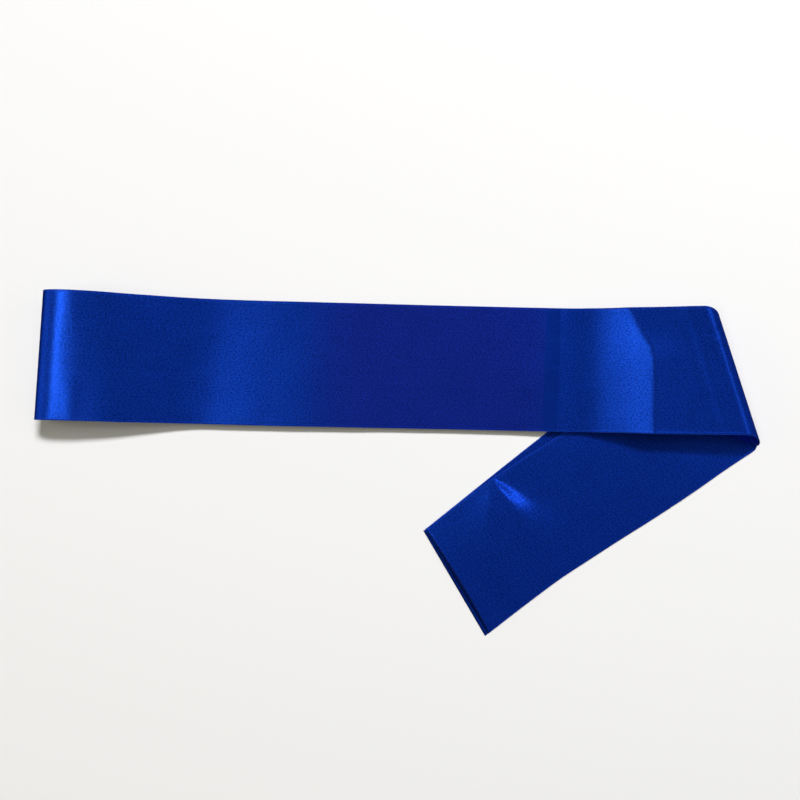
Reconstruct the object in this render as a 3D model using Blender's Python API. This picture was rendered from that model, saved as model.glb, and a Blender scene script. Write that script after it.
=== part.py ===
"""A satin sash: one long ribbon, folded in half and laid down, with its doubled end turned back.

Frame: +X runs along the straight doubled run, +Y across it, +Z up, and the surface it lies on is Z = 0.
The origin is at the middle of the rectangle that the sash covers on that surface. The tables below measure
from a point of their own, on the middle line of the run, and the finished sash is moved onto the origin.
The ribbon starts at its lower free end, goes up the lower tail, round the outside of the right turn,
along the top of the run, round the left turn, back underneath, round the inside of the right turn,
and down the upper tail to its other free end. Each of those stretches is one object.
"""

from collections import namedtuple
from math import cos, pi, radians, sin, tan

import bpy
from mathutils import Vector

MM = 0.001

# Driving sizes, in millimetres and degrees.
WIDTH = 95.0  # selvage to selvage
WALL = 1.0  # thickness of the cloth's wall
GAP = 0.3  # between one stretch and the next
ACROSS = 6  # faces across the width
STEP = 9.0  # spacing of the sections on a nearly flat stretch
TURN_STEPS = 7  # sections to each quarter of a turn
LEFT_TOP_TRIM = 0.01  # share of the way round the left turn left open at its top
RIGHT_TOP_TRIM = 0.005  # the same for the two right turns
FOOT_TRIM = 0.03  # share left open at a turn's foot
INNER_FOOT_TRIM = 0.06  # the inner turn's bend at its foot is short, so its share is larger

# A turn in side view: a tall rounded front, and a tighter bend where it meets the surface below.
# reach, side: where its foremost line crosses the ribbon's middle, along X and towards +Y
# lean: angle of the fold line from square across, its -Y end being further along +X
# top, foot: heights of the middle of the wall above and below
# nose, heel: depth of the rounded front and of the tighter bend
# heel_height: height of the foremost line above the foot
# rise: how much higher the +Y end of its top is than the -Y end
# slip: how far along the fold line the ribbon's middle has come at the foot
Turn = namedtuple("Turn", "reach side lean top foot nose heel heel_height rise slip")
LEFT = Turn(-273.0, 1.8, -4.0, 26.5, 0.5, 22.0, 9.0, 10.0, 7.5, -1.5)
RIGHT_OUTER = Turn(257.0, 1.7, 20.8, 28.0, 0.5, 15.0, 5.5, 6.0, 4.5, 0.6)
RIGHT_INNER = Turn(255.0, 1.7, 20.8, 26.0, 1.9, 13.1, 3.6, 4.4, 4.5, 17.3)

# The middle of the wall along the run: its height, how far it is moved towards +Y, how much higher
# its +Y edge is than its -Y edge, and whether it has a crease, a sharp bend straight across.
RunRow = namedtuple("RunRow", "x height side rise crease")
UPPER_RUN = [
    RunRow(-251.0, 26.5, 1.8, 7.5, False),
    RunRow(-240.0, 25.2, 1.6, 6.9, False),
    RunRow(-225.0, 21.9, 1.4, 6.1, False),
    RunRow(-208.0, 17.3, 1.1, 5.1, False),
    RunRow(-186.0, 13.0, 0.8, 3.8, False),
    RunRow(-154.0, 9.3, 0.4, 2.0, False),
    RunRow(-120.0, 7.0, 0.1, 0.5, False),
    RunRow(-80.0, 5.6, 0.0, 0.0, False),
    RunRow(-20.0, 4.6, 0.0, 0.0, False),
    RunRow(40.0, 4.8, 0.0, 0.0, False),
    RunRow(90.0, 5.6, 0.0, 0.0, False),
    RunRow(111.0, 6.7, 0.0, 0.0, True),
    RunRow(112.2, 6.2, 0.0, 0.0, True),
    RunRow(123.0, 6.4, 0.0, 0.0, True),
    RunRow(124.2, 6.9, 0.0, 0.0, True),
    RunRow(135.0, 8.0, 0.1, 0.4, False),
    RunRow(150.0, 11.2, 0.3, 1.0, False),
    RunRow(165.0, 16.0, 0.6, 1.6, False),
    RunRow(178.0, 21.2, 0.8, 2.1, False),
    RunRow(188.0, 25.6, 0.9, 2.5, True),
    RunRow(200.0, 26.6, 1.1, 2.9, False),
    RunRow(215.0, 27.5, 1.3, 3.5, False),
    RunRow(241.0, 28.0, 1.7, 4.5, False),
]
UNDER_RUN = [
    RunRow(-264.0, 0.5, 1.8, 0.0, False),
    RunRow(-120.0, 0.5, 0.0, 0.0, False),
    RunRow(60.0, 0.5, 0.0, 0.0, True),
    RunRow(85.0, 2.0, 0.0, 0.0, False),
    RunRow(104.0, 4.2, 0.0, 0.0, False),
    RunRow(124.0, 5.0, 0.0, 0.0, False),
    RunRow(135.0, 6.0, 0.1, 0.4, False),
    RunRow(150.0, 9.0, 0.3, 1.0, False),
    RunRow(165.0, 13.6, 0.6, 1.6, False),
    RunRow(178.0, 18.8, 0.8, 2.1, False),
    RunRow(188.0, 23.2, 0.9, 2.5, True),
    RunRow(200.0, 24.5, 1.1, 2.9, False),
    RunRow(215.0, 25.5, 1.3, 3.5, False),
    RunRow(241.0, 26.0, 1.7, 4.5, False),
]
SQUARE_FROM = -190.0  # sections lean with the left turn before this, and are square across after it
SQUARE_UP_TO = 188.0  # they are square across up to this crease, then lean over to the right turn

# A tail from the foot of the right turn: heading is its slope towards -Y, lean that of the section.
TailRow = namedtuple("TailRow", "along heading lean height")
LOWER_TAIL = [
    TailRow(0.0, 37.4, 20.8, 0.5),
    TailRow(60.0, 38.2, 24.6, 0.5),
    TailRow(120.0, 39.0, 27.2, 0.5),
    TailRow(190.0, 39.8, 29.8, 0.5),
    TailRow(266.0, 40.3, 31.5, 0.5),
]
UPPER_TAIL = [
    TailRow(0.0, 35.2, 20.8, 1.9),
    TailRow(60.0, 34.5, 24.2, 3.2),
    TailRow(120.0, 33.9, 26.8, 2.6),
    TailRow(180.0, 34.4, 29.6, 2.2),
    TailRow(212.0, 37.8, 31.0, 2.6),
    TailRow(259.0, 39.8, 32.4, 2.1),
]
END_BOW = 3.6  # how far the upper free end is drawn in at its middle

SATIN_BLUE = (0.004, 0.023, 0.24, 1.0)
SATIN_ROUGHNESS = 0.38

# A section is a straight line across the ribbon: its middle point, lean, half length and rise.
Section = namedtuple("Section", "middle lean half rise")


def clear_scene():
    for obj in list(bpy.data.objects):
        bpy.data.objects.remove(obj, do_unlink=True)


def slope_between(rows, index, key, value):
    """Rise of a table's column at one row, level with its neighbours, and one-sided at an end."""
    before, after = rows[max(index - 1, 0)], rows[min(index + 1, len(rows) - 1)]
    return (getattr(after, value) - getattr(before, value)) / (getattr(after, key) - getattr(before, key))


def smooth_read(rows, key, value, at):
    """A column of a table at any place, on a smooth curve through its rows."""
    last = len(rows) - 2
    index = next((i for i in range(last) if at < getattr(rows[i + 1], key)), last)
    low, high = rows[index], rows[index + 1]
    span = getattr(high, key) - getattr(low, key)
    share = (at - getattr(low, key)) / span
    rise_low = slope_between(rows, index, key, value) * span
    rise_high = slope_between(rows, index + 1, key, value) * span
    return (
        (2 * share**3 - 3 * share**2 + 1) * getattr(low, value)
        + (share**3 - 2 * share**2 + share) * rise_low
        + (3 * share**2 - 2 * share**3) * getattr(high, value)
        + (share**3 - share**2) * rise_high
    )


def run_read(rows, value, x):
    """A column of the run's table: smooth between creases, and sharp at each of them."""
    piece = []
    for row in rows:
        piece.append(row)
        if row.crease and len(piece) > 1:
            if x <= row.x:
                break
            piece = [row]
    return smooth_read(piece, "x", value, x)


def spaced(start, end, step):
    """Places from start to end, evenly spaced and about a step apart."""
    count = max(1, round(abs(end - start) / step))
    return [start + (end - start) * i / count for i in range(count + 1)]


def run_places(rows, start, end):
    """Where the run's sections go: evenly between its creases, and on each crease."""
    stops = [start] + [row.x for row in rows if row.crease and start < row.x < end] + [end]
    places = [start]
    for low, high in zip(stops, stops[1:]):
        places += spaced(low, high, STEP)[1:]
    return places


def half_length(skew):
    """Half the length of a section that crosses the ribbon at this skew."""
    return WIDTH / 2 / cos(radians(skew))


def run_sections(rows, start, end):
    """Sections of the run. They are square across but for its two ends, where they meet the turns."""
    sections = []
    for x in run_places(rows, start, end):
        if x > SQUARE_UP_TO:
            lean = RIGHT_OUTER.lean * (x - SQUARE_UP_TO) / (rows[-1].x - SQUARE_UP_TO)
        else:
            lean = LEFT.lean * max(0.0, (x - SQUARE_FROM) / (rows[0].x - SQUARE_FROM))
        middle = Vector((x, run_read(rows, "side", x), run_read(rows, "height", x)))
        sections.append(Section(middle, lean, half_length(lean), run_read(rows, "rise", x)))
    return sections


def turn_sections(turn, skew_out, start=0.0, end=1.0):
    """Sections round a turn, from its top to its foot, over a share of the way."""
    side = 1 if turn.reach > 0 else -1
    lean = radians(turn.lean)
    forward = Vector((cos(lean), sin(lean), 0.0)) * side
    down_the_fold = Vector((sin(lean), -cos(lean), 0.0))
    start_slip = -turn.nose * tan(abs(lean))
    skew_in = abs(turn.lean)
    sections = []
    for i in range(2 * TURN_STEPS + 1):
        share = start + (end - start) * i / (2 * TURN_STEPS)
        angle = pi * share
        if angle <= pi / 2:
            depth = turn.nose * sin(angle)
            hinge = turn.foot + turn.heel_height
            height = hinge + (turn.top - hinge) * cos(angle)
            back = turn.nose
        else:
            depth = turn.heel * sin(angle)
            height = turn.foot + turn.heel_height * (1 + cos(angle))
            back = turn.heel
        front = Vector((turn.reach, turn.side, height))
        slid = start_slip + (turn.slip - start_slip) * share
        middle = front + forward * (depth - back) + down_the_fold * slid
        rise = turn.rise * (height - turn.foot) / (turn.top - turn.foot)
        half = half_length(skew_in + (skew_out - skew_in) * share)
        sections.append(Section(middle, turn.lean, half, rise))
    return sections


def tail_sections(rows, turn):
    """Sections of a tail, from the foot of the right turn to the free end."""
    middle = turn_sections(turn, 0.0)[-1].middle.copy()
    sections = []
    reached = 0.0
    for along in [GAP] + spaced(0.0, rows[-1].along, STEP)[1:]:
        heading = radians(smooth_read(rows, "along", "heading", along))
        lean = smooth_read(rows, "along", "lean", along)
        middle = middle + Vector((-cos(heading), -sin(heading), 0.0)) * (along - reached)
        middle.z = smooth_read(rows, "along", "height", along)
        reached = along
        skew = smooth_read(rows, "along", "heading", along) - lean
        sections.append(Section(middle.copy(), lean, half_length(skew), 0.0))
    return sections


def across_points(section, bow=0.0):
    """Points across a section, from its +Y end to its -Y end, drawn in by the bow in the middle."""
    lean = radians(section.lean)
    points = []
    for j in range(ACROSS + 1):
        share = 1 - 2 * j / ACROSS
        point = section.middle + Vector((-sin(lean), cos(lean), 0.0)) * (section.half * share)
        point.z += section.rise / 2 * share
        points.append(point + Vector((cos(lean), sin(lean), 0.0)) * (bow * (1 - share**2)))
    return points


def make_material():
    material = bpy.data.materials.new("satin_blue")
    material.use_nodes = True
    shader = material.node_tree.nodes["Principled BSDF"]
    shader.inputs["Base Color"].default_value = SATIN_BLUE
    shader.inputs["Roughness"].default_value = SATIN_ROUGHNESS
    return material


def make_stretch(name, sections, material, bow=0.0):
    """One stretch of the ribbon: a sheet through its sections, given the cloth's thickness."""
    rows = [across_points(section) for section in sections[:-1]]
    rows.append(across_points(sections[-1], bow))
    points = [point * MM for row in rows for point in row]
    wide = ACROSS + 1
    faces = [
        (i * wide + j, i * wide + j + 1, (i + 1) * wide + j + 1, (i + 1) * wide + j)
        for i in range(len(rows) - 1)
        for j in range(ACROSS)
    ]
    mesh = bpy.data.meshes.new(name)
    mesh.from_pydata(points, [], faces)
    mesh.materials.append(material)
    mesh.validate()
    mesh.shade_smooth()
    obj = bpy.data.objects.new(name, mesh)
    bpy.context.scene.collection.objects.link(obj)
    wall = obj.modifiers.new("wall", "SOLIDIFY")
    wall.thickness = WALL * MM
    wall.offset = 0.0
    wall.use_even_offset = True
    wall.use_rim = True


def centre_on_origin(stretches):
    """Move the whole sash, so that the origin is at the middle of the surface that it covers."""
    for axis in (0, 1):
        places = [vertex.co[axis] for obj in stretches for vertex in obj.data.vertices]
        middle = (min(places) + max(places)) / 2
        for obj in stretches:
            obj.location[axis] = -middle


def main():
    clear_scene()
    satin = make_material()
    upper_start, upper_end = UPPER_RUN[0].x, UPPER_RUN[-1].x
    under_start, under_end = UNDER_RUN[0].x, UNDER_RUN[-1].x
    lower_skew = LOWER_TAIL[0].heading - RIGHT_OUTER.lean
    upper_skew = UPPER_TAIL[0].heading - RIGHT_INNER.lean
    stretches = {
        "lower_tail": tail_sections(LOWER_TAIL, RIGHT_OUTER),
        "right_turn_outer": turn_sections(RIGHT_OUTER, lower_skew, RIGHT_TOP_TRIM, 1 - FOOT_TRIM),
        "upper_run": run_sections(UPPER_RUN, upper_start, upper_end - GAP),
        "left_turn": turn_sections(LEFT, abs(LEFT.lean), LEFT_TOP_TRIM, 1 - FOOT_TRIM),
        "under_run": run_sections(UNDER_RUN, under_start, under_end - GAP),
        "right_turn_inner": turn_sections(RIGHT_INNER, upper_skew, RIGHT_TOP_TRIM, 1 - INNER_FOOT_TRIM),
        "upper_tail": tail_sections(UPPER_TAIL, RIGHT_INNER),
    }
    for name, sections in stretches.items():
        make_stretch(name, sections, satin, END_BOW if name == "upper_tail" else 0.0)
    centre_on_origin(list(bpy.data.objects))


main()
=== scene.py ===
# %% [markdown]
# # A satin sash, folded in half and laid down
# The real thing is a single length of royal-blue satin ribbon, 95 mm wide and about 1.66 m long. Nothing is
# sewn to it. It is folded in half at a soft round turn on the left, both layers run to the right, turn under
# together along an oblique fold, and come back out as a double tail. All of the making here follows from
# that: one sheet of cloth, led along one path, with the creases that packing left in it.

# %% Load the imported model
from collections import namedtuple
from math import cos, pi, radians, sin, tan

import bpy
import numpy as np
from mathutils import Matrix, Vector


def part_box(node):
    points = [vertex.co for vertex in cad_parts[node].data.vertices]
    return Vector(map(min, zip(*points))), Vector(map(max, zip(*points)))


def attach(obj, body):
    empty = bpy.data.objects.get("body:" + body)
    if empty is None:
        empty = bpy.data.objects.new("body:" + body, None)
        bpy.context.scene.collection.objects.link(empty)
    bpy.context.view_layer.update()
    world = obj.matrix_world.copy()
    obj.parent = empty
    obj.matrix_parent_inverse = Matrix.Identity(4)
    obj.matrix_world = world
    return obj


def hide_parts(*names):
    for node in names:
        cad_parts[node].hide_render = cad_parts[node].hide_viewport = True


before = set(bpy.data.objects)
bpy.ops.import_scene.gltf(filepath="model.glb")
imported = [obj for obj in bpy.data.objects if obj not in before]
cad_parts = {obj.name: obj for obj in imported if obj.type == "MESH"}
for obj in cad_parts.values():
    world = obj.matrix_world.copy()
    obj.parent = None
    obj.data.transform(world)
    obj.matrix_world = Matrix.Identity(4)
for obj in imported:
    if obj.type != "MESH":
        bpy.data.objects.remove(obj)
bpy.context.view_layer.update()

print("the packed model holds", ", ".join(sorted(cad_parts)))

# %% [markdown]
# ## Measures
# Cloth is easiest to think of in millimetres, so every table below is in millimetres and is turned into
# metres once, when a mesh is made. The tables measure from the middle of the straight run. Where that is in
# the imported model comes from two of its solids: the layer under the run gives the middle line, and the left
# turn's foremost corner gives the zero along it.

# %% Named sizes and the run's own zero
MM = 0.001
WIDTH = 95.0
HALF = WIDTH / 2
CLOTH = 0.35  # thickness of the satin
LEFT_EXTREME = 276.7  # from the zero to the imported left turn's foremost corner

left_turn_low = Vector(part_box("left_turn")[0])
under_run_low = Vector(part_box("under_run")[0])
ZERO = np.array([
    left_turn_low.x / MM + LEFT_EXTREME,
    under_run_low.y / MM + HALF + 0.15,
    0.0,
])
print("the run's zero is at", ZERO.round(2), "mm")

# %% [markdown]
# ## The path of the ribbon
# A ribbon bends easily along its length and hardly at all across it, so each line straight across a bend
# stays straight. Mathematicians call such a surface developable. It can be described by its cross lines
# alone: where the middle of each is, which way it points, and how long it is. A row of these lines is made
# for each stretch, from a short table of heights or headings, and a smooth curve is read between the rows.

# %% Tables of the path
RunRow = namedtuple("RunRow", "x height side rise crease")
UPPER_RUN = [
    RunRow(-250.4, 26.5, 1.8, 7.5, False),
    RunRow(-245.0, 26.2, 1.75, 7.3, False),
    RunRow(-238.6, 25.5, 1.7, 7.0, False),
    RunRow(-229.7, 24.15, 1.6, 6.5, False),
    RunRow(-220.0, 22.4, 1.4, 5.9, False),
    RunRow(-208.0, 19.6, 1.1, 5.1, False),
    RunRow(-193.0, 15.6, 0.9, 4.1, False),
    RunRow(-180.0, 12.3, 0.7, 3.2, False),
    RunRow(-168.0, 9.7, 0.5, 2.5, False),
    RunRow(-158.0, 8.1, 0.4, 1.9, False),
    RunRow(-148.0, 7.1, 0.3, 1.4, False),
    RunRow(-138.0, 6.6, 0.2, 0.9, False),
    RunRow(-125.0, 6.4, 0.1, 0.5, False),
    RunRow(-110.0, 6.4, 0.0, 0.2, False),
    RunRow(-71.0, 6.3, 0.0, 0.0, False),
    RunRow(-50.0, 6.0, 0.0, 0.0, False),
    RunRow(0.0, 5.1, 0.0, 0.0, False),
    RunRow(50.0, 4.9, 0.0, 0.0, False),
    RunRow(90.0, 5.5, 0.0, 0.0, False),
    RunRow(122.0, 6.4, 0.0, 0.0, False),
    RunRow(135.0, 7.0, 0.1, 0.4, False),
    RunRow(143.0, 8.1, 0.3, 0.7, False),
    RunRow(150.0, 9.7, 0.3, 1.0, False),
    RunRow(158.5, 12.3, 0.4, 1.3, False),
    RunRow(170.5, 16.6, 0.7, 1.8, False),
    RunRow(178.0, 19.6, 0.8, 2.2, False),
    RunRow(188.0, 23.7, 0.9, 2.5, True),
    RunRow(200.0, 24.9, 1.1, 2.9, False),
    RunRow(215.0, 26.0, 1.3, 3.5, False),
    RunRow(231.0, 27.3, 1.6, 4.1, False),
    RunRow(241.0, 28.0, 1.7, 4.5, False),
]
UNDER_RUN = [
    RunRow(-261.0, 0.2, 1.8, 0.0, False),
    RunRow(-120.0, 0.2, 0.0, 0.0, False),
    RunRow(60.0, 0.2, 0.0, 0.0, False),
    RunRow(85.0, 1.8, 0.0, 0.0, False),
    RunRow(104.0, 4.2, 0.0, 0.0, False),
    RunRow(122.0, 4.8, 0.0, 0.0, False),
    RunRow(135.0, 5.4, 0.1, 0.4, False),
    RunRow(150.0, 7.6, 0.3, 1.0, False),
    RunRow(165.0, 12.2, 0.6, 1.6, False),
    RunRow(176.0, 16.6, 0.8, 2.1, False),
    RunRow(188.0, 21.9, 0.9, 2.5, True),
    RunRow(200.0, 23.3, 1.1, 2.9, False),
    RunRow(215.0, 24.8, 1.3, 3.5, False),
    RunRow(231.0, 25.8, 1.6, 4.1, False),
    RunRow(241.0, 26.0, 1.7, 4.5, False),
]
SQUARE_FROM = -190.0
SQUARE_UP_TO = 188.0
PAIR_X = 110.0  # where a pair of creases crosses the top of the run

# A turn in side view is a tall rounded front, then a tighter bend where it meets the surface below.
# reach, side: where its foremost line crosses the ribbon's middle
# lean, foot_lean: how far the fold line slants from square across, at the top and at the foot
# top, foot: heights above and below; rise: how much higher the top's +Y end is than its -Y end
# nose, heel: depth of the front and of the tighter bend; heel_height: where the one meets the other
# slip: how far along the fold the middle has come at the foot; sag: how much further it is halfway round
# bluff: 1 is an ellipse, and less is squarer
Turn = namedtuple("Turn", "reach side lean foot_lean top foot nose heel heel_height rise slip sag bluff")
LEFT = Turn(-270.5, 1.8, -5.0, -5.0, 26.5, 0.2, 20.0, 12.0, 14.0, 7.5, -1.5, 0.0, 0.77)
RIGHT_OUTER = Turn(257.0, 1.7, 20.8, 20.8, 28.0, 0.2, 15.0, 5.5, 6.0, 4.5, 0.6, 6.0, 1.0)
RIGHT_INNER = Turn(256.4, 1.7, 20.8, 26.0, 26.0, 1.7, 14.5, 3.6, 4.4, 4.5, 17.4, 6.5, 1.0)

TailRow = namedtuple("TailRow", "along heading lean height")
LOWER_TAIL = [
    TailRow(0.0, 37.4, 20.8, 0.2),
    TailRow(60.0, 38.2, 24.6, 0.2),
    TailRow(120.0, 39.0, 27.2, 0.2),
    TailRow(190.0, 39.8, 29.8, 0.2),
    TailRow(266.8, 40.3, 31.5, 0.25),
]
UPPER_TAIL = [
    TailRow(0.0, 31.5, 26.0, 1.7),
    TailRow(30.0, 35.0, 24.6, 2.5),
    TailRow(60.0, 35.4, 24.4, 3.0),
    TailRow(120.0, 33.9, 26.8, 2.3),
    TailRow(180.0, 34.4, 29.6, 1.7),
    TailRow(212.0, 37.8, 31.0, 2.1),
    TailRow(261.2, 39.8, 32.4, 1.6),
]
END_BOW = 1.8  # how far the upper free end is drawn in at its middle
END_LIFT = 3.0  # and how far it stands up there
FINE = 0.8  # spacing of the cross lines


def slope_at(rows, index, key, value):
    """Slope of a table's column at one row, taken between its neighbours."""
    before, after = rows[max(index - 1, 0)], rows[min(index + 1, len(rows) - 1)]
    return (getattr(after, value) - getattr(before, value)) / (getattr(after, key) - getattr(before, key))


def read(rows, key, value, at):
    """A column of a table at any place, on a smooth curve that a crease interrupts."""
    breaks = [i for i, row in enumerate(rows) if getattr(row, "crease", False)]
    for i in breaks:
        rows = rows[: i + 1] if at <= getattr(rows[i], key) else rows[i:]
    last = len(rows) - 2
    index = next((i for i in range(last) if at < getattr(rows[i + 1], key)), last)
    low, high = rows[index], rows[index + 1]
    span = getattr(high, key) - getattr(low, key)
    w = (at - getattr(low, key)) / span
    return (
        (2 * w**3 - 3 * w**2 + 1) * getattr(low, value)
        + (w**3 - 2 * w**2 + w) * slope_at(rows, index, key, value) * span
        + (3 * w**2 - 2 * w**3) * getattr(high, value)
        + (w**3 - w**2) * slope_at(rows, index + 1, key, value) * span
    )


print("rows in the tables:", [len(rows) for rows in (UPPER_RUN, UNDER_RUN, LOWER_TAIL, UPPER_TAIL)])

# %% [markdown]
# ## Seven stretches
# Each stretch turns its table into cross lines in its own way. A run is read along X. A turn goes round a
# half circle that has been made tall in front and tight behind, and the cloth slides along the slanting
# fold as it goes, as paper does when a strip is folded at an angle. A tail walks on from the turn's foot.
# The two layers could be one solid with its edges marked, but then light couldn't get in between them.

# %% Cross lines of each stretch
def cross_line(middle, lean, skew, rise):
    """One line across the ribbon: its middle, and the step from there to its +Y edge."""
    half = HALF / cos(radians(skew))
    step = np.array([-sin(radians(lean)) * half, cos(radians(lean)) * half, rise / 2])
    return np.array(middle), step


def distances(points):
    """How far each point is from the first, along the way."""
    return np.concatenate([[0.0], np.cumsum(np.linalg.norm(np.diff(points, axis=0), axis=1))])


def places(start, end):
    return np.linspace(start, end, max(2, int(abs(end - start) / FINE)))


def run_lines(rows, start, end):
    lines = []
    for x in places(start, end):
        if x > SQUARE_UP_TO:
            lean = RIGHT_OUTER.lean * (x - SQUARE_UP_TO) / (rows[-1].x - SQUARE_UP_TO)
        else:
            lean = LEFT.lean * max(0.0, (x - SQUARE_FROM) / (rows[0].x - SQUARE_FROM))
        middle = (x, read(rows, "x", "side", x), read(rows, "x", "height", x))
        lines.append(cross_line(middle, lean, lean, read(rows, "x", "rise", x)))
    return lines


def turn_lines(turn, skew_out):
    """Round a turn, from the run down to its foot: a deep rounded front, then a tighter bend."""
    side = 1 if turn.reach > 0 else -1
    lean = radians(turn.lean)
    forward = np.array([cos(lean), sin(lean), 0.0]) * side
    down_the_fold = np.array([sin(lean), -cos(lean), 0.0])
    hinge = turn.foot + turn.heel_height
    angles = np.linspace(0, pi, 91)
    sines, cosines = np.sin(angles), np.cos(angles)
    front = angles <= pi / 2
    ahead = np.where(front, turn.nose * (sines**turn.bluff - 1), turn.heel * (sines - 1))
    height = np.where(
        front,
        hinge + (turn.top - hinge) * np.clip(cosines, 0, 1) ** turn.bluff,
        turn.foot + turn.heel_height * (1 + cosines),
    )
    # cloth that meets a fold at a slant also travels along it, in step with the way round
    round_it = distances(np.stack([ahead, height], axis=1))
    start_slip = -turn.nose * tan(abs(lean))
    slid = start_slip + tan(abs(lean)) * round_it
    settle = np.clip((round_it - round_it[front][-1]) / (round_it[-1] - round_it[front][-1]), 0, 1)
    slid = slid + (turn.slip - slid[-1]) * settle + turn.sag * sines**2
    lines = []
    for angle, step, z, slip, near_foot in zip(angles, ahead, height, slid, settle):
        middle = np.array([turn.reach, turn.side, z]) + forward * step + down_the_fold * slip
        rise = turn.rise * (z - turn.foot) / (turn.top - turn.foot)
        skew = abs(turn.lean) + (skew_out - abs(turn.lean)) * angle / pi
        lines.append(cross_line(middle, turn.lean + (turn.foot_lean - turn.lean) * near_foot, skew, rise))
    return lines


def tail_lines(rows, turn):
    """From the foot of the right turn out to the free end."""
    skew = rows[0].heading - rows[0].lean
    middle = turn_lines(turn, skew)[-1][0]
    lines = []
    reached = 0.0
    for along in places(0.0, rows[-1].along)[1:]:
        heading = radians(read(rows, "along", "heading", along))
        lean = read(rows, "along", "lean", along)
        middle = middle + np.array([-cos(heading), -sin(heading), 0.0]) * (along - reached)
        middle[2] = read(rows, "along", "height", along)
        reached = along
        lines.append(cross_line(middle.copy(), lean, np.degrees(heading) - lean, 0.0))
    return lines


def run_end(turn, depth):
    """Where along the run a turn of this depth begins."""
    return turn.reach - np.sign(turn.reach) * depth / cos(radians(turn.lean))


lower_skew = LOWER_TAIL[0].heading - RIGHT_OUTER.foot_lean
upper_skew = UPPER_TAIL[0].heading - RIGHT_INNER.foot_lean
right_end = run_end(RIGHT_OUTER, RIGHT_OUTER.nose)
inner_end = run_end(RIGHT_INNER, RIGHT_INNER.nose)
stretches = {
    "lower tail": tail_lines(LOWER_TAIL, RIGHT_OUTER)[::-1],
    "right turn, outer": turn_lines(RIGHT_OUTER, lower_skew)[::-1],
    "upper run": run_lines(UPPER_RUN, right_end, run_end(LEFT, LEFT.nose))[1:-1],
    "left turn": turn_lines(LEFT, abs(LEFT.lean)),
    "under run": run_lines(UNDER_RUN, run_end(LEFT, LEFT.heel), inner_end)[1:-1],
    "right turn, inner": turn_lines(RIGHT_INNER, upper_skew),
    "upper tail": tail_lines(UPPER_TAIL, RIGHT_INNER),
}
for name, lines in stretches.items():
    print(name, "has", len(lines), "cross lines")

# %% [markdown]
# ## From cross lines to one even sheet
# The stretches are joined into one long row of cross lines, which is spaced evenly again and smoothed a
# little, so that the ribbon flows from one stretch to the next. The sharp packing creases are kept out of
# the smoothing. Each line's distance along the middle of the ribbon is its place in the flat cloth, and how
# far the line slants away from square gives the flat place of its other points. That flat place becomes the
# UV map, in metres, so the weave lies on the cloth the way a loom made it, round every turn.

# %% Even rows
middles = np.array([line[0] for lines in stretches.values() for line in lines])
steps = np.array([line[1] for lines in stretches.values() for line in lines])
stretch_of = np.concatenate([np.full(len(lines), i) for i, lines in enumerate(stretches.values())])
names = list(stretches)
LAYERS = {  # the lying layer that each half of a stretch belongs to
    "lower tail": ("lower tail", "lower tail"),
    "right turn, outer": ("lower tail", "upper run"),
    "upper run": ("upper run", "upper run"),
    "left turn": ("upper run", "under run"),
    "under run": ("under run", "under run"),
    "right turn, inner": ("under run", "upper tail"),
    "upper tail": ("upper tail", "upper tail"),
}
layer_of = np.concatenate([
    [LAYERS[name][0]] * (len(lines) // 2) + [LAYERS[name][1]] * (len(lines) - len(lines) // 2)
    for name, lines in stretches.items()
])


def soften(values, reach):
    """Each row averaged with its neighbours, weighted by a bell curve."""
    offsets = np.arange(-3 * reach, 3 * reach + 1)
    weights = np.exp(-0.5 * (offsets / reach) ** 2)
    weights /= weights.sum()
    padded = np.concatenate([values[:1]] * (3 * reach) + [values] + [values[-1:]] * (3 * reach))
    return sum(w * padded[3 * reach + o : len(values) + 3 * reach + o] for w, o in zip(weights, offsets))


travelled = distances(middles)
even = np.arange(0.0, travelled[-1], FINE)
middles = np.stack([np.interp(even, travelled, middles[:, i]) for i in range(3)], axis=1)
steps = np.stack([np.interp(even, travelled, steps[:, i]) for i in range(3)], axis=1)
nearest = np.searchsorted(travelled, even, side="right") - 1
stretch_of, layer_of = stretch_of[nearest], layer_of[nearest]
SOFT_REACH = 2  # rows
KEEP_SHARP = 8.0  # mm on either side of the crease
on_a_run = np.isin(stretch_of, [names.index("upper run"), names.index("under run")])
sharp = on_a_run & (np.abs(middles[:, 0] - SQUARE_UP_TO) < KEEP_SHARP)
free = np.ones(len(even), bool)
free[: 3 * SOFT_REACH] = free[-3 * SOFT_REACH :] = False
smooth_rows = free & ~sharp
middles = np.where(smooth_rows[:, None], soften(middles, SOFT_REACH), middles)
steps = np.where(smooth_rows[:, None], soften(steps, SOFT_REACH), steps)
along = distances(middles)
LENGTH = along[-1]
on_top = stretch_of == names.index("upper run")
PAIR_AT = float(np.interp(-PAIR_X, -middles[on_top, 0], along[on_top]))  # the same place along the ribbon
print("the ribbon is", round(LENGTH), "mm long, in", len(even), "even rows")
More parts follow.
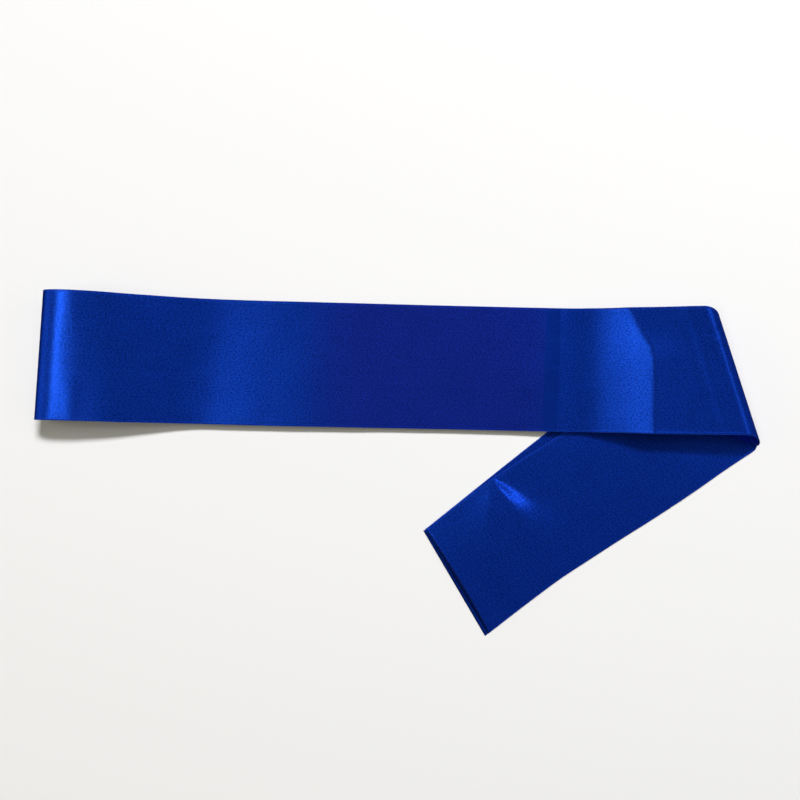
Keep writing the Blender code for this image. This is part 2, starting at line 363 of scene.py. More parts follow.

# %% [markdown]
# ## The main creases
# Satin shows its creases more than its shape, because the sheen turns a slope of a few degrees into a
# bright or dark band. So each crease is a soft ridge or trough with its own length, width and height,
# given one by one: the pair that crosses the run, the lines beside the oblique fold, the edge that curls up,
# and like ones on the sides that lie underneath. A crease is a straight line in plan with a rounded section
# that fades at its ends. The sharpest one, before the right turn, has a table of its own, because it forks.

# %% Creases as soft ridges and troughs
Crease = namedtuple("Crease", "layer start end width rise fade")
CREASES = [
    # the pair across the run, with the shallow trough between them
    Crease("upper run", (108.3, 56.0), (110.9, -56.0), 1.0, 0.05, 2.0),
    Crease("upper run", (114.6, 56.0), (117.2, -56.0), 4.2, -0.06, 2.0),
    Crease("upper run", (121.6, 56.0), (124.2, -56.0), 1.2, 0.06, 2.0),
    # beyond the fork, a faint line straight on to the far edge and a slanting one
    Crease("upper run", (186.4, 20.0), (185.2, 52.0), 1.1, 0.07, 8.0),
    Crease("upper run", (190.5, 20.0), (200.5, 46.0), 1.3, 0.08, 9.0),
    # a faint pull mark between the two
    Crease("upper run", (122.0, -18.3), (156.0, -8.8), 1.3, 0.14, 7.0),
    # a shallow hollow and rise beside the oblique fold, and the soft ridge where the fold begins
    Crease("upper run", (212.5, 44.0), (243.5, -44.0), 2.6, -0.12, 9.0),
    Crease("upper run", (207.5, 44.0), (238.5, -44.0), 3.0, 0.13, 9.0),
    Crease("upper run", (226.6, 46.0), (262.0, -49.0), 2.6, 0.16, 10.0),
    # the near edge beyond the pair, which curls up a little
    Crease("upper run", (140.0, -46.8), (264.0, -45.0), 1.0, 0.22, 20.0),
    # the top of the left turn, whose edges have sprung up too
    Crease("upper run", (-243.5, 16.0), (-241.5, 64.0), 5.0, 0.16, 24.0),
    Crease("upper run", (-244.5, -4.0), (-245.0, -66.0), 5.0, 0.36, 30.0),
    # like marks on the sides that lie underneath
    Crease("under run", (-40.0, 56.0), (-36.0, -56.0), 1.4, 0.22, 2.0),
    Crease("under run", (-24.0, 56.0), (-22.0, -56.0), 1.1, 0.18, 2.0),
    Crease("under run", (40.0, -10.0), (72.0, 18.0), 2.0, 0.25, 12.0),
    Crease("lower tail", (120.0, -60.0), (112.0, -140.0), 4.0, 0.22, 20.0),
]

print("creases placed by hand:", len(CREASES))

# The crease before the right turn runs straight across, then forks away towards the far edge.
CrestRow = namedtuple("CrestRow", "across x")
CREST = [
    CrestRow(-60.0, 190.6),
    CrestRow(-20.0, 189.5),
    CrestRow(10.0, 188.2),
    CrestRow(18.4, 186.0),
    CrestRow(22.2, 184.0),
    CrestRow(31.1, 178.4),
    CrestRow(40.1, 173.8),
    CrestRow(47.6, 170.9),
    CrestRow(60.0, 166.6),
]
RAMP_SLOPE = 0.41  # rise of the cloth just before the crest
FAR_STEEPER = 0.03  # how much steeper it is near the far edge
CREST_ROUND = 0.15  # softness of the crest
LEVEL_FROM = 212.0  # the two sides of the fork lie level again from here
RAMP_FROM = 140.0
STEEPER_FROM = 158.0


def table_heights(rows, x):
    """The height column of a run, read for a whole array of places."""
    spots = np.arange(rows[0].x, rows[-1].x + 0.5, 0.5)
    return np.interp(x, spots, [read(rows, "x", "height", min(spot, rows[-1].x)) for spot in spots])


def crest_heights(x, across):
    """Height of the top layer either side of the forked crest, rounded where the two sides meet."""
    crest = np.interp(across, [row.across for row in CREST], [row.x for row in CREST])

    def ramp(at):
        below = table_heights(UPPER_RUN, np.minimum(at, SQUARE_UP_TO))
        far = FAR_STEEPER * np.clip(across / HALF, 0, 1)
        below = below + RAMP_SLOPE * np.maximum(at - SQUARE_UP_TO, 0.0)
        return below + far * np.maximum(at - STEEPER_FROM, 0.0)

    top, level = ramp(crest), table_heights(UPPER_RUN, np.array(LEVEL_FROM))
    w = (x - crest) / (LEVEL_FROM - crest)
    beyond = top + (level - top) * w
    beyond = np.where(x > LEVEL_FROM, table_heights(UPPER_RUN, x), beyond)
    low = np.minimum(ramp(x), beyond)
    gap = np.abs(ramp(x) - beyond)
    return low - CREST_ROUND * np.log1p(np.exp(-gap / CREST_ROUND))


def crease_height(crease, x, y):
    """Height that a crease adds at each place in plan."""
    start, end = np.array(crease.start), np.array(crease.end)
    length = np.linalg.norm(end - start)
    way = (end - start) / length
    run = (x - start[0]) * way[0] + (y - start[1]) * way[1]
    off = (x - start[0]) * way[1] - (y - start[1]) * way[0]
    fade = np.clip(run / crease.fade, 0, 1) * np.clip((length - run) / crease.fade, 0, 1)
    fade = fade**2 * (3 - 2 * fade)
    return crease.rise * fade * np.exp(-((off / crease.width) ** 2))


# %% [markdown]
# ## The buckle in the tail
# Where the top tail was pushed back it has buckled: a low fold springs from one point on the edge and
# spreads over the cloth like a fan, steep on its far side and gentle on its near side. A cloth simulation
# could find such a fold, but not just there, so it is written as a height: a share for each direction from
# the point, times a rise that grows with the distance and then dies away.

# %% The buckle's fan
BUCKLE_POINT = (71.5, -85.0)
BUCKLE_HEIGHT = 4.5
BUCKLE_REACH = 13.0  # how soon it gains its height
BUCKLE_FADE = 70.0  # how far it runs before it is lost
FanRow = namedtuple("FanRow", "angle share")
FAN = [
    FanRow(-180.0, 0.0),
    FanRow(-142.0, 0.0),
    FanRow(-118.0, 0.45),
    FanRow(-94.0, 0.92),
    FanRow(-70.0, 1.0),
    FanRow(-52.0, 0.98),
    FanRow(-46.0, 0.84),
    FanRow(-40.0, 0.62),
    FanRow(-34.0, 0.38),
    FanRow(-28.0, 0.16),
    FanRow(-22.0, 0.04),
    FanRow(-16.0, 0.0),
    FanRow(180.0, 0.0),
]
CROWN = 1.3  # how much the tail is raised along its middle
CROWN_GROWS = 60.0  # over how much of the tail it gains that height
CROWN_FALLS = 40.0  # and loses it again before the free end


def buckle_height(x, y):
    out = np.hypot(x - BUCKLE_POINT[0], y - BUCKLE_POINT[1])
    angle = np.degrees(np.arctan2(y - BUCKLE_POINT[1], x - BUCKLE_POINT[0]))
    fan = np.interp(angle, [row.angle for row in FAN], [row.share for row in FAN])
    return BUCKLE_HEIGHT * fan * (1 - np.exp(-out / BUCKLE_REACH)) * np.exp(-((out / BUCKLE_FADE) ** 2))


def crown_height(reached, off):
    start = LENGTH - UPPER_TAIL[-1].along
    grown = np.clip((reached - start) / CROWN_GROWS, 0, 1) * np.clip((LENGTH - reached) / CROWN_FALLS, 0, 1)
    return CROWN * grown[:, None] * (1 - (off / HALF) ** 2)


print("the buckle springs from", BUCKLE_POINT, "and is at most", BUCKLE_HEIGHT, "mm high")

# %% [markdown]
# ## Choosing the rows
# Fine rows are only needed where the cloth bends sharply. Elsewhere every second or third row is enough,
# which keeps the whole ribbon well under two hundred thousand triangles. Across the ribbon the columns
# crowd together at the two selvages, where the cloth has its own firm woven edge.

# %% Rows and columns
EDGE_COLUMNS = np.array([47.5, 46.9, 46.0, 44.6])
COLUMNS = np.concatenate([EDGE_COLUMNS, np.linspace(42.6, -42.6, 33), -EDGE_COLUMNS[::-1]])
SELVAGE = 1.5  # width of the firm edge
is_turn = np.isin(stretch_of, [i for i, name in enumerate(names) if "turn" in name])
x_middle = middles[:, 0]
near_pair = on_a_run & (np.abs(x_middle - 116.0) < 13.0)
near_corner = on_a_run & (x_middle > 166.0)
in_buckle = (stretch_of == names.index("upper tail")) & (x_middle > 40.0) & (x_middle < 160.0)
every = np.where(near_pair | (near_corner & (stretch_of == names.index("upper run"))), 1, 3)
every = np.where(is_turn | in_buckle | (near_corner & (every == 3)), 2, every)
picked = [0]
while picked[-1] + every[picked[-1]] < len(even):
    picked.append(picked[-1] + every[picked[-1]])
picked[-1] = len(even) - 1
rows_kept = np.array(picked)
print("rows kept:", len(rows_kept), "columns:", len(COLUMNS))

share = COLUMNS / HALF
grid = middles[rows_kept][:, None, :] + steps[rows_kept][:, None, :] * share[None, :, None]
across = np.broadcast_to(COLUMNS, grid.shape[:2])
row_stretch = stretch_of[rows_kept]
tangents = np.gradient(middles, along, axis=0)[rows_kept]
tangents /= np.linalg.norm(tangents, axis=1)[:, None]
lengths = np.linalg.norm(steps[rows_kept], axis=1)
slant = np.einsum("ij,ij->i", tangents, steps[rows_kept]) / lengths
flat_along = along[rows_kept][:, None] + share[None, :] * (lengths * slant)[:, None]
flat_across = share[None, :] * (lengths * np.sqrt(1 - slant**2))[:, None]

# %% [markdown]
# ## Laying the creases on the sheet
# Every height so far is a function of the place in plan, so it can be added to the sheet wherever the cloth
# lies nearly level. Round a turn it fades out, because up is no longer away from the cloth. The upper cut
# end is drawn in and lifted at its middle, and slow waves keep the rest from lying dead flat.

# %% Lay the creases on the sheet
row_x, row_layer = middles[rows_kept][:, 0], layer_of[rows_kept]
for name, rows in (("upper run", UPPER_RUN), ("under run", UNDER_RUN)):
    mine = (row_stretch == names.index(name)) & (row_x > RAMP_FROM)
    x, own = grid[mine, :, 0], middles[rows_kept][mine, 2][:, None]
    below = (table_heights(UPPER_RUN, row_x[mine]) - table_heights(rows, row_x[mine]))[:, None]
    back = np.clip((row_x[mine] - LEVEL_FROM) / (UPPER_RUN[-1].x - LEVEL_FROM), 0, 1)[:, None]
    taking = np.clip((row_x[mine] - RAMP_FROM) / 10.0, 0, 1)[:, None] * (1 - back)
    grid[mine, :, 2] += taking * (crest_heights(x, grid[mine, :, 1]) - below - own)
lying = 1 - tangents[:, 2] ** 2  # how nearly level the cloth is
for crease in CREASES:
    mine = row_layer == crease.layer
    grid[mine, :, 2] += lying[mine, None] * crease_height(crease, grid[mine, :, 0], grid[mine, :, 1])

mine = row_layer == "upper tail"
grid[mine, :, 2] += buckle_height(grid[mine, :, 0], grid[mine, :, 1])
grid[mine, :, 2] += crown_height(along[rows_kept][mine], across[mine])

END_REACH = 60.0  # how far from the free end the bow starts
end_rows = along[rows_kept] > LENGTH - END_REACH
draw = ((along[rows_kept][end_rows] - LENGTH + END_REACH) / END_REACH) ** 3
bow = END_BOW * draw[:, None] * (1 - share[None, :] ** 2)
way_in = radians(UPPER_TAIL[-1].lean)
grid[end_rows] += bow[..., None] * np.array([cos(way_in), sin(way_in), END_LIFT / END_BOW])

WAVE = 0.07  # height of the slow waves that keep the cloth from lying dead flat
RIPPLE = 0.10  # height of the waves along its edges
slow = (
    np.sin(flat_along / 31.0 + 1.3 * np.sin(flat_across / 37.0))
    + 0.7 * np.sin(flat_along / 19.0 - flat_across / 44.0 + 2.0)
    + 0.5 * np.sin(flat_along / 11.3 + flat_across / 23.0 + 4.0)
)
edge = (np.abs(flat_across) / HALF) ** 8
ripple = edge * (np.sin(flat_along / 7.7) + np.sin(flat_along / 12.9 + np.sign(flat_across)))
loose = np.isin(row_layer, ["upper run", "upper tail"])
grid[loose, :, 2] += lying[loose, None] * (WAVE * slow[loose] + RIPPLE * ripple[loose])
print("highest point of the sheet:", round(float(grid[..., 2].max()), 1), "mm")
grid += ZERO

# %% [markdown]
# ## The cloth as a mesh
# The grid becomes quads with its flat place as the UV map. A Solidify modifier then gives it the thickness
# of real satin, which closes it along both selvages and both cut ends. The modifier is applied, so that
# the ribbon is one plain closed mesh.

# %% Build the ribbon
def mesh_object(name, points, faces):
    mesh = bpy.data.meshes.new(name)
    mesh.from_pydata([tuple(p) for p in points], [], faces)
    obj = bpy.data.objects.new(name, mesh)
    bpy.context.scene.collection.objects.link(obj)
    return obj


def made_plain(obj):
    """Put the evaluated mesh in the object's place and drop its modifiers."""
    evaluated = obj.evaluated_get(bpy.context.evaluated_depsgraph_get())
    mesh = bpy.data.meshes.new_from_object(evaluated)
    obj.modifiers.clear()
    obj.data = mesh
    mesh.name = obj.name
    return mesh


deep, wide = grid.shape[:2]
corners = np.arange(deep * wide).reshape(deep, wide)
quads = np.stack([corners[:-1, :-1], corners[:-1, 1:], corners[1:, 1:], corners[1:, :-1]], axis=-1)
ribbon = mesh_object("ribbon", grid.reshape(-1, 3) * MM, [tuple(q) for q in quads.reshape(-1, 4).tolist()])
flat_uv = np.stack([flat_across, flat_along], axis=-1).reshape(-1, 2) * MM
loop_corners = np.empty(len(ribbon.data.loops), int)
ribbon.data.loops.foreach_get("vertex_index", loop_corners)
uv_layer = ribbon.data.uv_layers.new(name="cloth")
uv_layer.data.foreach_set("uv", flat_uv[loop_corners].ravel())
ribbon.data.shade_smooth()
wall = ribbon.modifiers.new("thickness", "SOLIDIFY")
wall.thickness = CLOTH * MM
wall.offset = 0.0
wall.use_even_offset = False
made_plain(ribbon)
print("ribbon:", len(ribbon.data.polygons), "faces")

# %% [markdown]
# ## Shader maths as sums
# A material's pattern is easier to read as a sum than as a web of nodes. This small class wraps a node's
# output, and each operator on it adds the Math node for that sum. Everything else, such as a noise texture
# or the shader itself, goes through one method that takes the node's type, its settings and its inputs.


# %% A socket that can be added and multiplied
class Link:
    def __init__(self, tree, socket):
        self.tree, self.socket = tree, socket

    def maths(self, operation, *values):
        return node(self.tree, "ShaderNodeMath", {"operation": operation}, dict(enumerate([self, *values])))

    def __add__(self, other):
        return self.maths("ADD", other)

    def __sub__(self, other):
        return self.maths("SUBTRACT", other)

    def __mul__(self, other):
        return self.maths("MULTIPLY", other)

    def __truediv__(self, other):
        return self.maths("DIVIDE", other)

    def __gt__(self, other):
        return self.maths("GREATER_THAN", other)

    def __rsub__(self, other):
        return (self * -1.0) + other

    __radd__ = __add__
    __rmul__ = __mul__


def node(tree, kind, settings=None, inputs=None, output=0):
    """Add a node, set it up, feed its inputs, and give back one of its outputs as a Link."""
    made = tree.nodes.new(kind)
    for key, value in (settings or {}).items():
        setattr(made, key, value)
    for key, value in (inputs or {}).items():
        if isinstance(value, Link):
            tree.links.new(value.socket, made.inputs[key])
        else:
            made.inputs[key].default_value = value
    return Link(tree, made.outputs[output]) if len(made.outputs) else made


def new_material(name):
    material = bpy.data.materials.new(name)
    material.use_nodes = True
    material.node_tree.nodes.clear()
    return material, material.node_tree


# %% [markdown]
# ## Royal-blue satin
# In a satin weave each warp thread floats over several weft threads before it dips under one. The floats
# lie side by side along the ribbon, so the face is smooth one way and finely ribbed the other, and what
# light it throws back has taken the colour of the dye. That is why the highlight is a brighter blue, not
# white. A mostly metallic surface gives that coloured sheen, with a plain share left for the soft colour in
# the shade. One roughness would make the bright bands too crisp, so two such surfaces are mixed: the smooth
# floats, and the fuzzier share of the threads, which scatters the light further. The ribs, the dips and a
# fine speckle go into the bump, the roughness and the colour, all read from the flat cloth's coordinates.
# The middle of the top, up to the pair of creases, is painted a deeper, more purple blue as painted shade.
# The strip between the pair was pressed so flat that it hardly speckles, and it is painted darker as shade.

# %% The satin material
THREAD = 0.30 * MM  # from one warp thread to the next
FLOAT = 2.2 * MM  # from one dip to the next along a thread
SATIN_DEEP = (0.0025, 0.032, 0.40, 1.0)
SATIN_LIGHT = (0.0120, 0.096, 0.97, 1.0)
# painted shade: a deeper, more purple blue mixed into the middle of the top
PAINTED_SHADE_DEEP = (0.0130, 0.026, 0.40, 1.0)
PAINTED_SHADE_LIGHT = (0.0280, 0.056, 0.84, 1.0)
PAINTED_SHADE_AT = 532.0  # mm along the ribbon, where the painted purple shade is strongest
PAINTED_SHADE_REACH = 110.0
PRESSED_SHADED_WIDTH = 11.0  # mm, the strip between the pair of creases, pressed flat and smooth, and painted darker as shade
BROADER = 0.28  # the fuzzier share of the threads scatters the sheen this much further
BROAD_SHARE = 0.30


def satin_material(name, colours, gloss, relief):
    material, tree = new_material(name)
    flat = node(tree, "ShaderNodeUVMap", {"uv_map": "cloth"})
    place = node(tree, "ShaderNodeSeparateXYZ", inputs={0: flat})
    u, v = place, Link(tree, place.socket.node.outputs[1])

    threads = u / THREAD
    index = threads.maths("FLOOR")
    within = threads.maths("FRACT") - 0.5
    rib = 1.0 - (within * within) * 4.0
    phase = (v / FLOAT + index * 0.4).maths("FRACT")
    dip = (1.0 - (phase - 0.5).maths("ABSOLUTE") * 14.0).maths("MAXIMUM", 0.0)
    by_thread = node(tree, "ShaderNodeTexWhiteNoise", {"noise_dimensions": "1D"}, {"W": index})
    stretched = node(tree, "ShaderNodeMapping", inputs={"Vector": flat, "Scale": (1800.0, 42.0, 1.0)})
    streaks = node(tree, "ShaderNodeTexNoise", inputs={"Vector": stretched, "Scale": 1.0, "Detail": 3.0})
    fine = node(tree, "ShaderNodeMapping", inputs={"Vector": flat, "Scale": (900.0, 700.0, 1.0)})
    grain = node(tree, "ShaderNodeTexNoise", inputs={"Vector": fine, "Scale": 1.0, "Detail": 2.0})
    clouds = node(tree, "ShaderNodeTexNoise", inputs={"Vector": flat, "Scale": 38.0, "Detail": 2.0})
    firm = u.maths("ABSOLUTE") > (HALF - SELVAGE) * MM

    before_pair = v > PAIR_AT * MM
    pressed_shaded = (v > (PAIR_AT - PRESSED_SHADED_WIDTH) * MM) - before_pair
    speckle = (grain - 0.5) * 2.3 * (1.0 - pressed_shaded * 0.7)
    tone = speckle + streaks * 0.45 + clouds * 0.25 + by_thread * 0.1 - dip * 0.10 + firm * 0.12 + 0.1
    # painted shade: the pressed strip between the pair of creases is painted darker
    tone = tone - pressed_shaded * 0.16
    two_colours = {"data_type": "RGBA"}
    colour = node(tree, "ShaderNodeMix", two_colours, {0: tone, 6: colours[0], 7: colours[1]}, 2)
    # painted shade: the colour is mixed towards the purple blue in the middle of the top; deep is that share
    painted_shade_falloff = (1.0 - (v / MM - PAINTED_SHADE_AT).maths("ABSOLUTE") / PAINTED_SHADE_REACH).maths("MAXIMUM", 0.0)
    deep = (painted_shade_falloff * 1.5).maths("MINIMUM", 0.65) * before_pair
    painted_shade_colour = node(tree, "ShaderNodeMix", two_colours, {0: tone, 6: colours[2], 7: colours[3]}, 2)
    colour = node(tree, "ShaderNodeMix", two_colours, {0: deep, 6: colour, 7: painted_shade_colour}, 2)
    rough = gloss + streaks * 0.04 + grain * 0.02 + firm * 0.06
    height = rib * 0.55 - dip * 0.35 + grain * 1.1 + streaks * 0.35
    relief_normal = node(
        tree, "ShaderNodeBump", inputs={"Strength": 1.0, "Distance": relief * MM, "Height": height}
    )
    faces = [
        node(
            tree,
            "ShaderNodeBsdfPrincipled",
            inputs={
                "Base Color": colour,
                "Metallic": 0.78,
                "Roughness": roughness,
                "Specular Tint": (0.06, 0.18, 0.60, 1.0),
                "Normal": relief_normal,
            },
        )
        for roughness in (rough, rough + BROADER)
    ]
    both = node(tree, "ShaderNodeMixShader", inputs={0: BROAD_SHARE, 1: faces[0], 2: faces[1]})
    node(tree, "ShaderNodeOutputMaterial", inputs={"Surface": both})
    return material


dyes_and_painted_shade = (SATIN_DEEP, SATIN_LIGHT, PAINTED_SHADE_DEEP, PAINTED_SHADE_LIGHT)
satin = satin_material("royal_blue_satin", dyes_and_painted_shade, gloss=0.20, relief=0.02)
ribbon.data.materials.clear()
ribbon.data.materials.append(satin)
print("royal_blue_satin:", len(satin.node_tree.nodes), "nodes")

# %% [markdown]
# ## Selvages and sealed ends
# Along both long edges the weft thread turns back round the outermost warp, once for every pick. It leaves
# a fine cord with a row of tiny loops. Across the two cut ends the threads were sealed with heat, so they
# end in a thin uneven bead. Both repeat along a path, which is what Geometry Nodes do well: one tree draws
# the cord along an edge of the sheet and sets a loop on it at every pitch. They could be drawn in the bump
# of the satin instead, but an edge is seen against the table, where only a real shape shows.


# %% A tree that dresses an edge
def edge_tree():
    tree = bpy.data.node_groups.new("dress_edge", "GeometryNodeTree")
    face = tree.interface
    face.new_socket("Geometry", in_out="INPUT", socket_type="NodeSocketGeometry")
    for label in ("Cord Radius", "Pitch", "Loop Length", "Loop Radius", "Unevenness"):
        face.new_socket(label, in_out="INPUT", socket_type="NodeSocketFloat")
    face.new_socket("Material", in_out="INPUT", socket_type="NodeSocketMaterial")
    face.new_socket("Geometry", in_out="OUTPUT", socket_type="NodeSocketGeometry")
    given = tree.nodes.new("NodeGroupInput")

    def asked(label):
        return Link(tree, given.outputs[label])

    path = node(tree, "GeometryNodeMeshToCurve", inputs={"Mesh": asked("Geometry")})
    ring = node(tree, "GeometryNodeCurvePrimitiveCircle", inputs={"Resolution": 6})
    tree.links.new(asked("Cord Radius").socket, ring.socket.node.inputs["Radius"])
    cord = node(
        tree, "GeometryNodeCurveToMesh", inputs={"Curve": path, "Profile Curve": ring, "Fill Caps": True}
    )
    spots = node(
        tree, "GeometryNodeCurveToPoints", {"mode": "LENGTH"}, {"Curve": path, "Length": asked("Pitch")}
    )
    turned = Link(tree, spots.socket.node.outputs["Rotation"])
    loop = node(tree, "GeometryNodeMeshUVSphere", inputs={"Segments": 6, "Rings": 4, "Radius": 1.0})
    wobble = node(
        tree, "FunctionNodeRandomValue", {"data_type": "FLOAT"}, {"Min": 0.0, "Max": 1.0, "Seed": 7}, 1
    )
    size = 1.0 + (wobble - 0.5) * asked("Unevenness")
    radius = asked("Loop Radius") * size
    scale = node(tree, "ShaderNodeCombineXYZ", inputs={0: radius, 1: radius, 2: asked("Loop Length") * size})
    loops = node(
        tree,
        "GeometryNodeInstanceOnPoints",
        inputs={"Points": spots, "Instance": loop, "Rotation": turned, "Scale": scale},
    )
    joined = node(tree, "GeometryNodeJoinGeometry", inputs={0: cord})
    tree.links.new(loops.socket, joined.socket.node.inputs[0])
    real = node(tree, "GeometryNodeRealizeInstances", inputs={0: joined})
    smooth = node(tree, "GeometryNodeSetShadeSmooth", inputs={0: real})
    dressed = node(
        tree, "GeometryNodeSetMaterial", inputs={"Geometry": smooth, "Material": asked("Material")}
    )
    result = tree.nodes.new("NodeGroupOutput")
    tree.links.new(dressed.socket, result.inputs[0])
    return tree


def dress(name, paths, sizes):
    """One piece along several open paths through the sheet, dressed by the tree."""
    points = np.concatenate(paths)
    starts = np.cumsum([0] + [len(path) for path in paths])
    pairs = [(i, i + 1) for low, high in zip(starts, starts[1:]) for i in range(low, high - 1)]
    mesh = bpy.data.meshes.new(name)
    mesh.from_pydata([tuple(p) for p in points * MM], pairs, [])
    obj = bpy.data.objects.new(name, mesh)
    bpy.context.scene.collection.objects.link(obj)
    modifier = obj.modifiers.new("dress", "NODES")
    modifier.node_group = EDGE_TREE
    entries = EDGE_TREE.interface.items_tree
    sockets = {entry.name: entry.identifier for entry in entries if entry.in_out == "INPUT"}
    for label, value in sizes.items():
        modifier[sockets[label]] = value
    made_plain(obj)
    print(name + ":", len(obj.data.polygons), "faces")
    return obj


EDGE_TREE = edge_tree()

# %% [markdown]
# ## The two edge finishes
# A selvage is the same thread packed tighter, so it is duller than the face and a little mottled. A sealed
# end is melted thread, shiny on its beads, and painted nearly black, darkest in its hollows: painted shade
# for the shadowed edge of the cloth. Both are patterns in space, since these pieces have no flat cloth to
# read.

# %% Dress the selvages and the cut ends
OUT = 0.05  # how far the edge cord stands out from the sheet
outward = steps[rows_kept] / lengths[:, None]
selvage_satin, selvage_tree = new_material("woven_selvage")
spot = node(selvage_tree, "ShaderNodeTexCoord", output=3)
speckle = node(selvage_tree, "ShaderNodeTexNoise", inputs={"Vector": spot, "Scale": 900.0, "Detail": 2.0})
edge_colour = node(
    selvage_tree, "ShaderNodeMix", {"data_type": "RGBA"},
    {0: speckle, 6: (0.006, 0.050, 0.42, 1.0), 7: (0.014, 0.100, 0.72, 1.0)}, 2,
)
edge_shader = node(
    selvage_tree, "ShaderNodeBsdfPrincipled",
    inputs={"Base Color": edge_colour, "Metallic": 0.35, "Roughness": speckle * 0.2 + 0.42},
)
node(selvage_tree, "ShaderNodeOutputMaterial", inputs={"Surface": edge_shader})

sealed, sealed_tree = new_material("heat_sealed_end_shaded")
spot = node(sealed_tree, "ShaderNodeTexCoord", output=3)
beads = node(sealed_tree, "ShaderNodeTexNoise", inputs={"Vector": spot, "Scale": 650.0, "Detail": 2.0})
# painted shade: the sealed ends are painted nearly black, darkest in the noise's hollows, for the shadowed
# edge
end_colour_with_shade = node(
    sealed_tree, "ShaderNodeMix", {"data_type": "RGBA"},
    {0: beads, 6: (0.001, 0.006, 0.045, 1.0), 7: (0.003, 0.020, 0.140, 1.0)}, 2,
)
end_shader = node(
    sealed_tree, "ShaderNodeBsdfPrincipled",
    inputs={"Base Color": end_colour_with_shade, "Metallic": 0.1, "Roughness": beads * 0.3 + 0.2},
)
node(sealed_tree, "ShaderNodeOutputMaterial", inputs={"Surface": end_shader})

selvages = dress(
    "selvages",
    [grid[:, 0] + outward * OUT, grid[:, -1] - outward * OUT],
    {
        "Cord Radius": 0.20 * MM, "Pitch": 0.95 * MM, "Loop Length": 0.40 * MM, "Loop Radius": 0.24 * MM,
        "Unevenness": 0.25, "Material": selvage_satin,
    },
)
sealed_ends = dress(
    "sealed_ends",
    [grid[0], grid[-1]],
    {
        "Cord Radius": 0.20 * MM, "Pitch": 0.7 * MM, "Loop Length": 0.42 * MM, "Loop Radius": 0.26 * MM,
        "Unevenness": 0.7, "Material": sealed,
    },
)

# %% [markdown]
# ## Table and light
# The sash lies on a plain pale table. Satin mirrors its lamps softly, so each lamp is placed for the part
# that looks at it. A long soft box over the left side makes the bright bands on the left turn, on the slope
# before the right turn and on the buckle. A strip low on the right makes the fine line along the oblique
# fold. Faint panels lift the sides. A strong lamp beyond the far edge lights the table and throws the short
# shadow under the run's near edge. It isn't mirrored in the satin, and neither is the table, because their
# reflections would turn the far edge pale.

# %% The table
TABLE = 4.0
floor = mesh_object(
    "table_top",
    [(-TABLE, -TABLE, 0), (TABLE, -TABLE, 0), (TABLE, TABLE, 0), (-TABLE, TABLE, 0)],
    [(0, 1, 2, 3)],
)
pale, pale_tree = new_material("pale_table")
pale_shader = node(
    pale_tree, "ShaderNodeBsdfPrincipled",
    inputs={"Base Color": (0.90, 0.90, 0.90, 1.0), "Roughness": 0.9, "Specular IOR Level": 0.1},
)
node(pale_tree, "ShaderNodeOutputMaterial", inputs={"Surface": pale_shader})
floor.data.materials.append(pale)
floor.visible_glossy = False
print("table:", 2 * TABLE, "m across")


# %% Lights
def looking(place, aim, up):
    """Matrix of something at a place that looks along its own -Z at an aim, its Y towards up."""
    back = (Vector(place) - Vector(aim)).normalized()
    right = Vector(up).cross(back).normalized()
    matrix = Matrix((right, back.cross(right), back)).transposed().to_4x4()
    matrix.translation = place
    return matrix


# place: metres, with Y from the run's middle line; size: its two sides; strength: brightness of its face
Lamp = namedtuple("Lamp", "name place size strength colour mirrored")
LAMPS = [
    Lamp("left_box", (-2.25, 0.0, 4.00), (0.62, 2.6), 5.4, (1.4, 1.3, 1.0), True),
    Lamp("left_panel", (-2.6, 0.0, 0.9), (1.6, 3.0), 0.45, (1.0, 1.1, 1.0), True),
    Lamp("right_panel", (2.7, 1.6, 2.3), (2.6, 2.4), 0.10, (1.0, 1.1, 1.0), True),
    Lamp("far_panel", (2.4, 1.75, 4.3), (1.4, 1.2), 3.8, (1.0, 1.0, 1.0), True),
    Lamp("right_strip", (2.75, 0.1, 2.0), (0.7, 2.0), 0.95, (1.1, 1.15, 1.0), True),
    Lamp("far_lamp", (1.0, 2.7, 3.6), (1.3, 0.6), 88.0, (0.97, 0.97, 1.0), False),
]
WORLD_STRENGTH = 0.02
run_y = ZERO[1] * MM
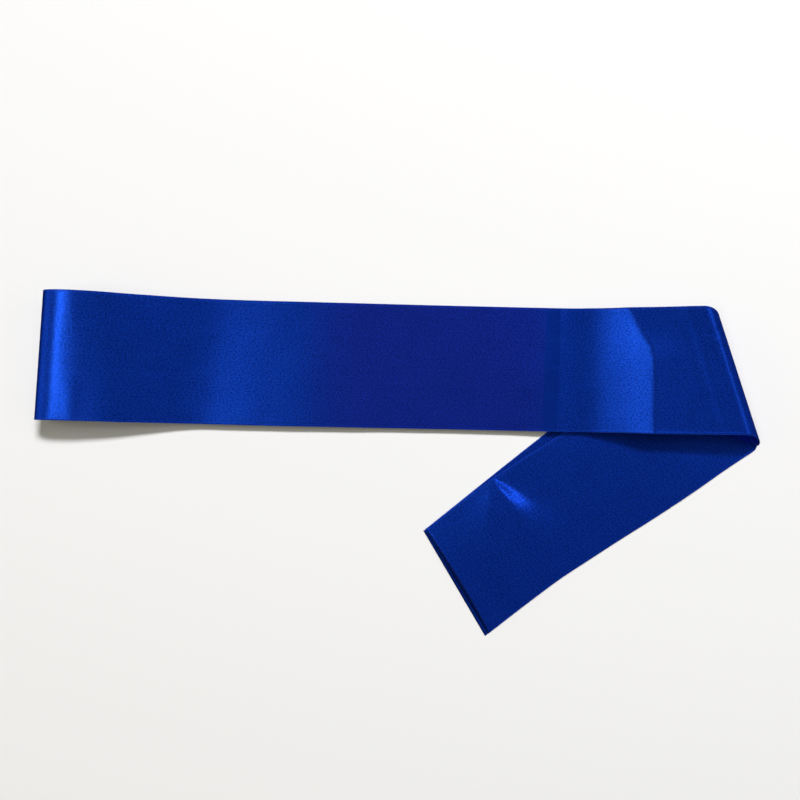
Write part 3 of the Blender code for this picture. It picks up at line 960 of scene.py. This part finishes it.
for lamp in LAMPS:
    light = bpy.data.lights.new(lamp.name, "AREA")
    light.shape = "RECTANGLE"
    light.size, light.size_y = lamp.size
    light.energy = lamp.strength * pi * lamp.size[0] * lamp.size[1]
    light.color = lamp.colour
    stand = bpy.data.objects.new(lamp.name, light)
    x, y, z = lamp.place
    stand.matrix_world = looking((x, run_y + y, z), (0.0, run_y, 0.0), (0.0, 1.0, 0.0))
    stand.visible_glossy = lamp.mirrored
    bpy.context.scene.collection.objects.link(stand)
print("lamps:", ", ".join(lamp.name for lamp in LAMPS))

world = bpy.data.worlds.new("studio")
world.use_nodes = True
world.node_tree.nodes["Background"].inputs[0].default_value = (1.0, 1.0, 1.0, 1.0)
world.node_tree.nodes["Background"].inputs[1].default_value = WORLD_STRENGTH
bpy.context.scene.world = world
bpy.context.scene.view_settings.view_transform = "Standard"

# %% [markdown]
# ## The camera
# It hangs half a metre above the middle of the run and looks almost straight down, a little towards the
# tail. So near a long object, perspective matters: it widens the two turns, which stand higher than the
# middle. Its place is written in the run's own measures, like the tables.

# %% Camera
CAMERA_PLACE = np.array([-14.3, -14.5, 528.7])  # in the run's own measures
CAMERA_AIM = np.array([-1.1, -25.9, 0.0])
CAMERA_ROLL = -1.27
LENS = 30.56  # on a 36 mm sensor

camera_data = bpy.data.cameras.new("camera")
camera_data.lens = LENS
camera = bpy.data.objects.new("camera", camera_data)
upright = (sin(radians(CAMERA_ROLL)), cos(radians(CAMERA_ROLL)), 0.0)
camera.matrix_world = looking((CAMERA_PLACE + ZERO) * MM, (CAMERA_AIM + ZERO) * MM, upright)
bpy.context.scene.collection.objects.link(camera)
bpy.context.scene.camera = camera
print("camera:", LENS, "mm lens,", CAMERA_PLACE[2], "mm up")

# %% [markdown]
# ## Tie the pieces to the frame
# The one ribbon stands for all seven packed stretches, whose imported parts are hidden. Its edges ride
# with it.

# %% Tie the pieces on and hide the packed parts
for piece in (ribbon, selvages, sealed_ends):
    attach(piece, "root")
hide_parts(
    "lower_tail",
    "right_turn_outer",
    "upper_run",
    "left_turn",
    "under_run",
    "right_turn_inner",
    "upper_tail",
)
